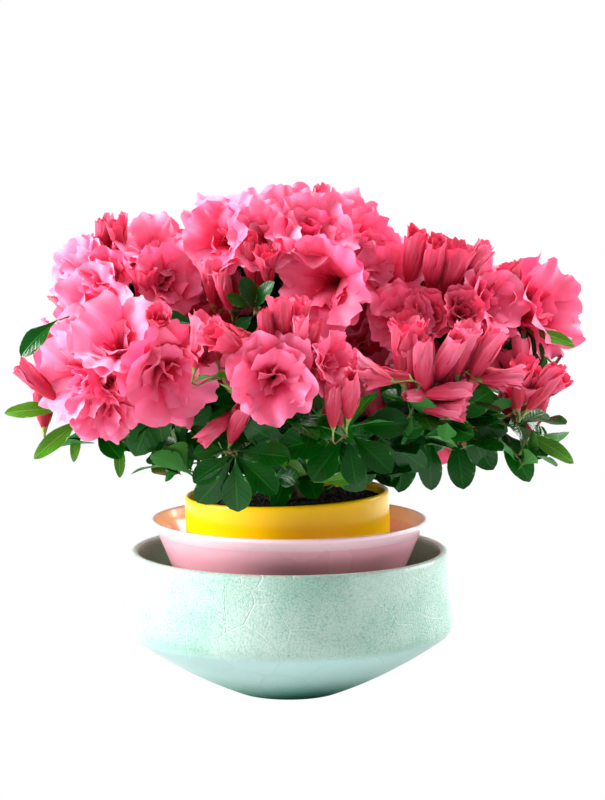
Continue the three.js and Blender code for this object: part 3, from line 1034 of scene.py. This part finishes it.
# Each row is a bloom: its middle as shares of the mass's box (across, deep, up), its kind, its size, the way
# it faces in degrees (to the right of the front, then above level) and its tint.
PLACED = {
    "blossom_crown_top": [
        (0.21, 0.38, 0.70, "open", 62, -25, 45, 0),
        (0.37, 0.55, 0.73, "open", 60, 5, 60, 0),
        (0.53, 0.38, 0.71, "open", 66, 5, 35, 0),
        (0.68, 0.30, 0.80, "loose", 34, 15, 70, 1),
        (0.83, 0.30, 0.67, "open", 62, 30, 35, 0),
        (0.20, 0.20, 0.60, "open", 62, -30, 15, 1),
        (0.40, 0.12, 0.62, "funnel", 58, -10, 20, 0),
        (0.64, 0.12, 0.66, "open", 68, 12, 28, 1),
        (0.71, 0.06, 0.30, "funnel", 80, -22, 4, 1),
        (0.91, 0.22, 0.50, "open", 62, 35, 8, 1),
        (0.43, 0.06, 0.40, "bell", 34, -5, 62, 2),
        (0.34, 0.10, 0.45, "loose", 34, -15, 66, 2),
        (0.15, 0.18, 0.28, "bell", 36, -15, 70, 1),
        (0.22, 0.14, 0.22, "loose", 34, 5, 72, 1),
        (0.08, 0.35, 0.46, "open", 60, -45, 10, 1),
        (0.92, 0.55, 0.62, "open", 60, 60, 40, 0),
        (0.62, 0.62, 0.76, "open", 62, 40, 65, 0),
    ],
    "blossom_shoulder_left": [
        (0.61, 0.30, 0.78, "open", 64, -5, 48, 0),
        (0.33, 0.35, 0.84, "loose", 34, -20, 76, 2),
        (0.43, 0.30, 0.86, "bell", 36, 0, 74, 2),
        (0.20, 0.32, 0.64, "open", 60, -55, 28, 0),
        (0.38, 0.15, 0.60, "rosette", 42, -12, 28, 1),
        (0.32, 0.12, 0.40, "open", 70, -35, 10, 0),
        (0.58, 0.08, 0.50, "bell", 34, 0, 74, 2),
        (0.72, 0.14, 0.56, "open", 56, 20, 12, 1),
        (0.84, 0.30, 0.62, "open", 54, 15, 20, 1),
        (0.50, 0.62, 0.80, "open", 62, -60, 60, 0),
    ],
    "blossom_lower_left": [
        (0.53, 0.12, 0.90, "funnel", 72, -5, 42, 0),
        (0.31, 0.20, 0.66, "open", 74, -48, 2, 0),
        (0.49, 0.06, 0.62, "rosette", 34, 0, 10, 2),
        (0.76, 0.08, 0.66, "open", 78, 20, -14, 1),
        (0.73, 0.08, 0.96, "bell", 32, 10, 60, 2),
        (0.44, 0.12, 0.42, "open", 54, -15, -30, 1),
        (0.11, 0.25, 0.58, "loose", 38, -100, 35, 2),
        (1.02, 0.10, 0.31, "loose", 36, -60, -30, 1),
        (1.12, 0.12, 0.32, "loose", 32, 20, 62, 2),
        (0.14, 0.50, 0.72, "open", 62, -80, 20, 0),
    ],
    "blossom_front": [
        (0.47, 0.08, 0.63, "open", 68, 0, 0, 1),
        (0.24, 0.12, 0.86, "bell", 38, -55, 30, 2),
        (0.43, 0.14, 0.92, "loose", 34, -8, 76, 2),
        (0.52, 0.16, 0.98, "bell", 34, 0, 74, 2),
        (0.61, 0.12, 0.90, "loose", 32, 10, 74, 1),
        (0.77, 0.18, 0.72, "open", 50, 46, 8, 1),
        (0.06, 0.30, 0.84, "bell", 36, -10, 72, 1),
        (0.15, 0.25, 0.86, "tight", 32, 10, 70, 2),
        (0.79, 0.12, 0.46, "loose", 38, -5, 72, 2),
        (0.88, 0.12, 0.52, "tight", 38, 10, 74, 2),
        (1.00, 0.20, 0.67, "bell", 38, -65, 20, 1),
    ],
    "blossom_shoulder_right": [
        (0.19, 0.20, 0.74, "open", 64, 8, 12, 1),
        (0.36, 0.16, 0.88, "loose", 42, -5, 76, 2),
        (0.48, 0.12, 0.84, "loose", 44, 8, 72, 2),
        (0.59, 0.14, 0.80, "bell", 42, 30, 64, 2),
        (0.71, 0.20, 0.82, "loose", 38, 45, 60, 1),
        (0.81, 0.22, 0.58, "open", 64, 42, 14, 1),
        (0.44, 0.05, 0.48, "rosette", 38, -6, 16, 2),
        (0.64, 0.06, 0.51, "rosette", 36, 16, 24, 2),
        (0.29, 0.10, 0.47, "open", 52, -18, 8, 1),
        (0.30, 0.55, 0.84, "open", 62, 10, 66, 0),
        (0.72, 0.55, 0.78, "open", 62, 55, 48, 0),
    ],
    "blossom_lower_right": [
        (0.27, 0.10, 0.88, "bell", 44, -5, 76, 2),
        (0.35, 0.06, 0.80, "loose", 42, 5, 72, 1),
        (0.44, 0.07, 0.84, "loose", 44, 40, 62, 1),
        (0.51, 0.09, 0.90, "bell", 44, 35, 66, 1),
        (0.60, 0.12, 0.86, "loose", 44, 50, 58, 1),
        (0.67, 0.10, 0.72, "bell", 36, 80, 5, 1),
        (0.32, 0.04, 0.62, "tight", 30, -45, 5, 1),
        (0.44, 0.04, 0.64, "loose", 36, 78, 6, 1),
        (0.43, 0.05, 0.52, "bell", 36, 65, -12, 1),
        (0.76, 0.20, 0.66, "bell", 40, 10, 74, 2),
        (0.85, 0.20, 0.64, "loose", 42, 45, 62, 2),
    ],
    "blossom_tip_right": [
        (0.52, 0.35, 0.57, "funnel", 80, 50, 12, 1),
        (0.15, 0.25, 0.74, "bell", 40, 10, 76, 2),
    ],
}


def facing(yaw, pitch):
    yaw, pitch = math.radians(yaw), math.radians(pitch)
    return np.array([math.sin(yaw) * math.cos(pitch), -math.cos(yaw) * math.cos(pitch), math.sin(pitch)])


# The kinds that open to a face. The rest stay furled.
FLAT = ("open", "funnel", "rosette")
# Every shape's maker in the order of the library, and where each kind starts in it.
MAKERS, FIRST_SHAPE = [], {}
for kind, (maker, copies, _, _) in KINDS.items():
    FIRST_SHAPE[kind] = len(MAKERS)
    MAKERS += [maker] * copies


class Bloom:
    def __init__(self, middle, kind, size, way, tint, dice):
        _, copies, own, depth = KINDS[kind]
        self.kind, self.way, self.tint = kind, unit(way), tint
        self.scale = size / own
        self.middle = np.array(middle, float)
        self.foot = self.middle - self.way * depth * self.scale
        self.shape = FIRST_SHAPE[kind] + int(dice.integers(copies))
        self.roll = dice.uniform(0, 2 * math.pi)

    def spot(self):
        return self.foot, frame_of(self.way, self.roll), self.scale, self.shape


def mass_tree(name):
    mesh = frame["nodes"][name].data
    points = [v.co / MM for v in mesh.vertices]
    return BVHTree.FromPolygons(points, [p.vertices for p in mesh.polygons])


TREES = {name: mass_tree(name) for name in BLOSSOM_NODES + LEAF_NODES}


def surface_spots(names, count, dice):
    """Random places on the outer skin of the masses, each with its outward direction."""
    faces = []
    for name in names:
        mesh = frame["nodes"][name].data
        for p in mesh.polygons:
            corners = [mesh.vertices[i].co / MM for i in p.vertices[:3]]
            faces.append((name, p.area, np.array(corners), np.array(p.normal)))
    weights = np.array([f[1] for f in faces])
    picks = dice.choice(len(faces), count, p=weights / weights.sum())
    for pick in picks:
        name, _, corners, normal = faces[pick]
        a, b = dice.uniform(size=2)
        if a + b > 1:
            a, b = 1 - a, 1 - b
        point = corners[0] + a * (corners[1] - corners[0]) + b * (corners[2] - corners[0])
        start = Vector(point + normal * 1.5)
        if all(tree.ray_cast(start, Vector(normal), 30)[0] is None for tree in TREES.values()):
            yield name, point, normal


MASS_LOWS, MASS_HIGHS = (np.array([BOXES[name][end] for name in TREES]) for end in (0, 1))
MASS_MIDDLES, MASS_HALVES = (MASS_HIGHS + MASS_LOWS) / 2, (MASS_HIGHS - MASS_LOWS) / 2


def inside_plant(points, slack):
    """For each point, whether it lies in or near the egg that fills some mass's box."""
    away = (np.array(points)[:, None] - MASS_MIDDLES) / MASS_HALVES
    return ((away**2).sum(-1) < slack**2).any(axis=1)


def drawn_in(point, way, size):
    """Where a bloom's middle goes so that nearly all of its rim stays inside the plant's outline."""
    side = unit(np.cross(way, UP + 0.01))
    other = np.cross(way, side)
    around = np.linspace(0, 2 * np.pi, 9)[:-1]
    rim = (side * np.cos(around)[:, None] + other * np.sin(around)[:, None]) * size * 0.45 + way * size * 0.12
    for depth in (9, 14, 19, 24):
        middle = point - way * depth
        if inside_plant(middle + rim, 1.02).sum() >= 7:
            return middle
    return None


def far_enough(point, others, gap):
    return not others or np.min(np.linalg.norm(np.array(others) - point, axis=1)) > gap


def all_blooms():
    dice = np.random.default_rng(7)
    blooms = []
    for node, rows in PLACED.items():
        for across, deep, up, kind, size, yaw, pitch, tint in rows:
            middle, way = in_box(node, across, deep, up), facing(yaw, pitch)
            if kind not in FLAT:
                size, way = size * dice.uniform(0.72, 0.94), way + dice.normal(0, 0.12, 3)
                if "left" not in node and "shoulder" not in node:
                    beside, share = middle + dice.uniform((-11, 7, -7), (11, 15, 2)), dice.uniform(0.75, 1.05)
                    blooms.append(Bloom(beside, kind, size * share, way + dice.normal(0, 0.36, 3), 2, dice))
            blooms.append(Bloom(middle, kind, size, way, tint, dice))
    heart = in_box("leaves_heart", 0.5, 0.5, 0.2)
    taken = [b.middle for b in blooms]
    for _, point, normal in surface_spots(BLOSSOM_NODES, 5000, dice):
        if normal[2] < -0.15 or normal[1] < -0.25:
            continue
        way = unit(0.6 * unit(point - heart) + 0.7 * normal + 0.25 * UP + dice.normal(0, 0.15, 3))
        size = dice.uniform(52, 68)
        middle = drawn_in(point, way, size)
        if middle is not None and far_enough(middle, taken, 33):
            kind = dice.choice(["open", "funnel"], p=[0.75, 0.25])
            blooms.append(Bloom(middle, kind, size, way, int(dice.choice([0, 1], p=[0.45, 0.55])), dice))
            taken.append(middle)
    for _, point, normal in surface_spots(BLOSSOM_NODES, 5000, dice):
        if normal[2] < -0.1 or normal[1] < -0.25:
            continue
        way = unit(0.5 * normal + 0.9 * UP + dice.normal(0, 0.2, 3))
        middle = point - normal * 10 - way * 10
        if far_enough(middle, taken, 21):
            kind = dice.choice(["bell", "loose", "tight"], p=[0.35, 0.4, 0.25])
            blooms.append(Bloom(middle, kind, dice.uniform(30, 40), way, int(dice.choice([1, 2])), dice))
            taken.append(middle)
    return blooms


def hubs_of(blooms):
    """Blooms whose stalks start close together share one hub."""
    hubs = []
    for bloom in blooms:
        start = bloom.foot - bloom.way * 11 * bloom.scale
        for hub in hubs:
            if np.linalg.norm(hub["point"] - start) < 15:
                hub["blooms"].append(bloom)
                break
        else:
            hubs.append({"point": start, "blooms": [bloom]})
    for hub in hubs:
        hub["point"] = np.mean([b.foot - b.way * 11 * b.scale for b in hub["blooms"]], axis=0)
        hub["way"] = unit(sum(b.way for b in hub["blooms"]) + 1e-3)
    return hubs


# Each row is a shoot of leaves: its place in the node's box, the way it points, its number of leaves, how far
# they spread from it in degrees, their size and their tint. A row of one leaf is that leaf, with its own way.
LEAF_SHOOTS = {
    "leaves_skirt_front": [
        (0.24, -0.08, 0.88, -85, -38, 1, 0, 0.95, 0),
        (0.24, -0.10, 0.86, -74, -56, 1, 0, 1.0, 0),
        (0.25, -0.12, 0.86, 30, -86, 1, 0, 1.12, 0),
        (0.26, -0.08, 0.86, 72, -42, 1, 0, 1.0, 0),
        (0.26, -0.06, 0.90, 84, -8, 1, 0, 1.0, 0),
        (0.22, -0.04, 0.92, -86, -5, 1, 0, 0.8, 0),
        (0.74, 0.06, 1.06, -80, -14, 1, 0, 1.2, 0),
        (0.74, 0.04, 1.04, -62, -48, 1, 0, 1.15, 0),
        (0.75, 0.04, 1.02, 35, -72, 1, 0, 1.0, 0),
        (0.76, 0.06, 1.06, 75, -42, 1, 0, 1.15, 0),
        (0.76, 0.10, 1.10, 80, 6, 1, 0, 1.15, 0),
        (0.42, 0.74, 0.64, -60, -34, 1, 0, 0.9, 0),
        (0.48, 0.72, 0.62, -20, -44, 1, 0, 0.9, 0),
        (0.55, 0.72, 0.63, 25, -42, 1, 0, 0.95, 0),
        (0.60, 0.74, 0.66, 65, -30, 1, 0, 0.9, 0),
        (0.52, 0.12, 0.92, -10, -35, 6, 82, 1.0, 0),
        (0.90, 0.22, 0.98, 20, -30, 6, 80, 1.05, 0),
        (0.50, 0.25, 0.86, 5, -15, 6, 75, 0.95, 0),
        (0.66, 0.28, 0.90, 10, -20, 6, 75, 1.0, 0),
    ],
    "leaves_skirt_left": [
        (0.06, 0.12, 1.12, -85, -4, 1, 0, 1.0, 2),
        (0.14, 0.22, 1.00, -72, -38, 1, 0, 1.15, 2),
        (0.10, 0.30, 0.86, -30, -76, 1, 0, 0.7, 2),
        (0.34, 0.25, 0.72, 10, -80, 1, 0, 0.6, 2),
        (0.20, 0.28, 0.86, 60, -48, 1, 0, 0.85, 1),
        (0.44, 0.16, 0.92, -5, -50, 5, 75, 0.95, 0),
        (0.66, 0.14, 0.86, 5, -45, 6, 78, 0.95, 0),
    ],
    "leaves_skirt_right": [
        (0.29, 0.22, 0.84, 0, -84, 1, 0, 1.05, 0),
        (0.14, 0.20, 0.84, -25, -72, 1, 0, 1.05, 0),
        (0.42, 0.25, 0.84, 40, -78, 1, 0, 1.0, 0),
        (0.48, 0.28, 0.98, 70, -58, 1, 0, 0.95, 0),
        (0.64, 0.32, 0.92, 66, -56, 1, 0, 0.9, 1),
        (0.77, 0.38, 0.84, 84, -30, 1, 0, 1.15, 2),
        (0.66, 0.30, 1.04, 84, -22, 1, 0, 0.8, 1),
        (0.22, 0.16, 1.00, 5, -30, 6, 80, 1.0, 0),
        (0.46, 0.22, 1.06, 15, -15, 5, 75, 0.9, 0),
    ],
    "blossom_lower_left": [(0.20, 0.40, 0.98, -70, -42, 1, 0, 0.8, 0)],
    "blossom_tip_right": [
        (0.30, 0.24, 0.38, 82, -16, 1, 0, 1.0, 2),
        (0.28, 0.28, 0.42, -40, -66, 1, 0, 0.9, 0),
        (0.32, 0.30, 0.40, 50, -70, 1, 0, 0.9, 0),
        (0.24, 0.30, 0.40, -78, -20, 1, 0, 0.8, 0),
    ],
    "blossom_crown_top": [(0.30, 0.10, 0.10, -12, 20, 6, 76, 0.72, 0)],
    "leaves_heart": [
        (0.37, -0.14, 0.90, -80, 22, 1, 0, 0.66, 0),
        (0.37, -0.15, 0.90, -30, 62, 1, 0, 0.66, 0),
        (0.38, -0.16, 0.89, 40, 48, 1, 0, 0.7, 0),
        (0.38, -0.16, 0.88, 82, 8, 1, 0, 0.74, 0),
        (0.37, -0.16, 0.87, -60, -32, 1, 0, 0.6, 0),
        (0.13, -0.12, 0.80, -84, 4, 1, 0, 0.72, 0),
        (0.14, -0.12, 0.79, 60, -20, 1, 0, 0.72, 0),
        (0.02, 0.08, 0.76, -25, 15, 6, 74, 0.85, 0),
        (0.95, 0.08, 0.70, 25, 10, 6, 74, 0.9, 0),
        (0.14, 0.06, 0.55, -20, 5, 6, 74, 0.8, 0),
        (0.12, 0.02, 0.25, -15, -5, 6, 74, 0.9, 0),
        (0.90, 0.04, 0.40, 20, 0, 6, 74, 0.9, 0),
    ],
}


# The number of shoots in the low ring.
LOW_SHOOTS = 11


def leaf_shoots():
    """The listed shoots, a low ring round the stem, and the rest scattered over the masses."""
    dice = np.random.default_rng(11)
    shoots = []
    for node, rows in LEAF_SHOOTS.items():
        for across, deep, up, yaw, pitch, count, spread, size, tint in rows:
            point = in_box(node, across, deep, up)
            shoots.append((point, facing(yaw, pitch), count, spread, size, tint, True))
    for turn in range(LOW_SHOOTS):
        out = facing(360 * turn / LOW_SHOOTS + dice.uniform(-14, 14), 0)
        point = out * dice.uniform(18, 40) + (0, 0, POT_TOP + dice.uniform(14, 26))
        shoots.append((point, unit(out - 0.1 * UP), 6, 72, 0.85, 0, False))
    taken = [s[0] for s in shoots]
    for name, point, normal in surface_spots(LEAF_NODES + BLOSSOM_NODES, 9000, dice):
        low = name in LEAF_NODES
        middle = point - normal * (20 if low else 27)
        if middle[2] < POT_TOP + 14 or not far_enough(middle, taken, 23 if low else 26):
            continue
        way = unit(normal + 0.35 * UP + dice.normal(0, 0.25, 3))
        tint = int(dice.choice([0, 1, 2], p=[0.66, 0.28, 0.06]))
        count, spread, size = int(dice.integers(5, 8)), dice.uniform(50, 80), dice.uniform(0.8, 1.05)
        shoots.append((middle, way, count, spread, size, tint, False))
        taken.append(middle)
    return shoots


def hangs_clear(tip):
    """Leaves that weren't listed one by one end above the pot's rim, and higher out to the sides."""
    return tip[2] > POT_TOP + (20 if abs(tip[0]) > 80 else 9 if abs(tip[1]) > 62 else 3)


def covers_bloom(points, blooms):
    """Whether any of the points lies over a bloom's face."""
    away = np.array(points)[:, None] - blooms["middle"][None]
    ahead = np.einsum("pbi,bi->pb", away, blooms["way"])
    beside = np.sqrt(np.maximum((away**2).sum(-1) - ahead**2, 0))
    return bool(((ahead > -7) & (ahead < 26) & (beside < blooms["reach"])).any())


def leaves_round(point, way, count, spread, size, tint, placed, dice, leaves, blooms):
    """A whorl of leaves round a shoot's end, or one leaf on its own. Returns how many had room."""
    side = unit(np.cross(way, UP + 0.01))
    other = np.cross(way, side)
    start, kept = dice.uniform(0, 6), 0
    for i in range(count):
        angle = start + i * 2.4
        lean = math.radians(spread + dice.normal(0, 12 if count > 1 else 0) - 8 * (i / count))
        out = side * math.cos(angle) + other * math.sin(angle)
        along = unit(way * math.cos(lean) + out * math.sin(lean))
        if count > 1:
            face = unit(way * math.sin(lean) - out * math.cos(lean) + dice.normal(0, 0.2, 3) + 0.15 * UP)
        else:
            face = unit(facing(0, 30) + dice.normal(0, 0.18, 3))
        base = point - way * (i * 1.2) + out * 0.8
        own = size * dice.uniform(0.8, 1.1)
        middle, tip = base + along * 20 * own, base + along * 36 * own
        free = placed and count == 1
        if not free and not (hangs_clear(tip) and inside_plant([tip], 1.06)[0]):
            continue
        if not free and covers_bloom([middle, tip], blooms):
            continue
        row = dice.integers(NARROW, len(LEAVES)) if tint == 2 else dice.integers(NARROW)
        leaves[tint].append((base, leaf_frame(along, face), own, int(row)))
        kept += 1
    return kept


# ---------------------------------------------------------------- the plant

# Each piece of blooms: its finish, then the colours of its edge, body and throat, and how striped it is. The
# throat colour also serves as painted shade deep in the bloom.
PETAL_TINTS = {
    "petals_light": ("light pink petals", (255, 172, 206), (254, 112, 160), (246, 36, 90)),
    "petals_mid": ("pink petals", (255, 144, 184), (250, 82, 134), (236, 18, 68)),
    "petals_deep": ("deep pink petals", (250, 110, 150), (236, 52, 98), (198, 8, 44)),
    "buds_rose": ("rose buds", (250, 142, 174), (234, 82, 122), (206, 30, 70), 0.3),
    "buds_deep": ("deep rose buds", (242, 112, 146), (220, 54, 94), (188, 18, 52), 0.35),
}
# Each piece of leaves: its finish, then the colours of its face, rib and back.
LEAF_TINTS = {
    "leaves_dark": ("dark leaves", (0, 68, 5), (30, 112, 24), (46, 116, 42)),
    "leaves_mid": ("green leaves", (4, 84, 6), (52, 130, 28), (66, 132, 52)),
    "leaves_pale": ("young leaves", (72, 130, 22), (140, 176, 76), (140, 172, 110)),
}


def plant_all():
    blooms = all_blooms()
    hubs = hubs_of(blooms)
    shoots = leaf_shoots()
    dice = np.random.default_rng(3)

    discs = {
        "middle": np.array([b.middle for b in blooms]),
        "way": np.array([b.way for b in blooms]),
        "reach": np.array([b.scale * KINDS[b.kind][2] * (0.36 if b.kind in FLAT else 0.22) for b in blooms]),
    }
    leaves = [[], [], []]
    targets = [(hub["point"], hub["way"]) for hub in hubs]
    for point, way, count, spread, size, tint, placed in shoots:
        kept = leaves_round(point, way, count, spread, size, tint, placed, dice, leaves, discs)
        if kept > min(count, 3) - 1:
            targets.append((point, way))
        elif kept:
            del leaves[tint][-kept:]
    for hub in hubs:
        tint = int(dice.choice([0, 1, 2], p=[0.68, 0.28, 0.04]))
        leaves_round(hub["point"], hub["way"], 5, 85, 0.85, tint, False, dice, leaves, discs)

    wood = Wood()
    foot_thick = (trunk_high[0] - trunk_low[0]) / 2
    for name, target in BOUGH_TARGETS.items():
        goal = in_box(target, 0.5, 0.5, 0.45)
        heading = unit((goal - FORK) * (1, 1, 0)) if name != "bough_leader" else 0 * UP
        start = FORK + heading * 8 - UP * 5
        wood.grow(arch(start, unit(UP + 0.3 * heading), goal, unit(goal - start + 12 * UP), 16), None)
    boughs = len(wood.paths)
    targets.sort(key=lambda t: np.linalg.norm(t[0] - FORK))
    for point, way in targets:
        wood.reach(point, way, dice)
    thick = wood.thickness(0.55)
    lines = []
    for number, path in enumerate(wood.paths):
        points = np.array([wood.points[i] for i in path])
        own = thick[path]
        if number >= boughs:
            own[0] = min(own[0], own[1] * 1.3)
        lines.append((points, own))
    for _, own in lines[:boughs]:
        own[:] = np.maximum(own, np.linspace(3.4, 1.6, len(own)))
    rise = np.linspace(0, 1, 22)
    bow = np.sin(np.pi * rise)
    height = trunk_low[2] + rise * (trunk_high[2] - trunk_low[2] + 1)
    trunk_line = np.stack([-1.5 * bow, 1.0 * bow, height], -1)
    waist, fork = 8.6, 2.4
    trunk_thick = waist + (foot_thick - waist) * (1 - rise) ** 3 + fork * rise**3
    bark = bark_material("grey brown bark", colour(132, 104, 82), colour(70, 50, 38))
    young = bark_material("young green brown bark", colour(126, 118, 70), colour(88, 66, 44))
    main = limbs("limbs", [(trunk_line, trunk_thick)] + lines[:boughs], 20, 0.0016, bark)
    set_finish(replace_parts(main, "trunk", *BOUGH_TARGETS), "bark")
    twigs = limbs("twigs", lines[boughs:], 5, 0.0002, young)
    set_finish(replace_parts(twigs, *BLOSSOM_NODES, *LEAF_NODES), "bark")

    stalks = []
    for hub in hubs:
        for bloom in hub["blooms"]:
            path = arch(hub["point"], hub["way"], bloom.foot + bloom.way * 1.0, bloom.way, 5)
            stalks.append((path, np.array([0.7, 0.7, 0.75, 0.9, 1.6, 2.3]) * max(bloom.scale, 0.8)))
    green = bark_material("green stalks", colour(150, 168, 84), colour(104, 124, 58))
    stalk_piece = limbs("flower_stalks", stalks, 6, 0.0002, green)
    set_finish(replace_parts(stalk_piece, *BLOSSOM_NODES), "leaves")

    shapes = library("bloom", MAKERS)
    for tint, (name, (title, edge, body, throat, *stripes)) in enumerate(PETAL_TINTS.items()):
        finish = petal_material(title, colour(*edge), colour(*body), colour(*throat), *stripes)
        spots = [b.spot() for b in blooms if b.tint + (2 if b.kind not in FLAT and b.tint else 0) == tint]
        plant(name, spots, shapes, finish, "blossom", BLOSSOM_NODES)
    put_away(shapes)

    blades = library("leaf", [lambda shape, d, row=row: leaf(shape, d, *row) for row in LEAVES])
    for spots, (name, (title, *shades)) in zip(leaves, LEAF_TINTS.items()):
        finish = leaf_material(title, *(colour(*shade) for shade in shades))
        plant(name, spots, blades, finish, "leaves", LEAF_NODES)
    put_away(blades)


# ---------------------------------------------------------------- camera, floor and light


def camera():
    """The eye is a little above level and far off, and its lens takes in a height of view at the plant."""
    far, rise, sensor, view = 1550.0, math.radians(6.2), 36.0, 507.2
    target = np.array([8.6, 0.0, 186.0])
    eye = target + far * np.array([0.0, -math.cos(rise), math.sin(rise)])
    data = bpy.data.cameras.new("camera")
    data.sensor_width = sensor
    data.lens = sensor * far / view
    data.clip_end = 20.0
    piece = link(bpy.data.objects.new("camera", data))
    piece.location = Vector(eye * MM)
    piece.rotation_euler = Vector((target - eye) * MM).to_track_quat("-Z", "Y").to_euler()
    bpy.context.scene.camera = piece


def area_light(name, place, size, power, tone=(1, 1, 1)):
    data = bpy.data.lights.new(name, "AREA")
    data.shape, data.size, data.energy, data.color = "DISK", size, power, tone
    piece = link(bpy.data.objects.new(name, data))
    piece.location = place
    piece.rotation_euler = (Vector((0, 0, 0.18)) - Vector(place)).to_track_quat("-Z", "Y").to_euler()


def light():
    world = bpy.data.worlds.new("white room")
    world.use_nodes = True
    world.node_tree.nodes.clear()
    nodes = Nodes(world.node_tree)
    seen, glow = nodes.add("ShaderNodeLightPath")["Is Camera Ray"], 0.46
    lit = {"Color": (1, 1, 1, 1), "Strength": seen * (1 - glow) + glow}
    back = nodes.add("ShaderNodeBackground", inputs=lit)
    nodes.add("ShaderNodeOutputWorld", inputs={"Surface": back["Background"]})
    bpy.context.scene.world = world
    area_light("window", (-1.7, -0.2, 0.8), 0.8, 76.0)
    area_light("above", (0.1, 0.3, 2.0), 1.2, 60.0)
    area_light("behind", (1.5, 0.7, 0.9), 1.2, 44.0)
    bpy.context.scene.view_settings.view_transform = "Standard"


def floor():
    """A pale floor that shades the foot of the bowl and isn't seen itself."""
    shape = Shape()
    turn, rings = np.linspace(0, 2 * np.pi, 65), np.array([0.001, 300, 900, 2500])
    angle, radius = np.meshgrid(turn, rings, indexing="ij")
    points = np.stack([radius * np.cos(angle), radius * np.sin(angle), 0 * angle], -1)
    shape.sheet(points, points[..., :2], flip=True)
    piece = shape.piece("floor")
    piece.data.materials.append(floor_material())
    piece.visible_camera = False


camera()
light()
floor()
outer_bowl()
inner_bowl()
grow_pot()
soil()
plant_all()

for piece in [o for o in bpy.context.scene.objects if o.type == "MESH"]:
    if "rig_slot" in piece or "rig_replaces" in piece:
        if piece.name not in frame["nodes"]:
            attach(piece, "root")
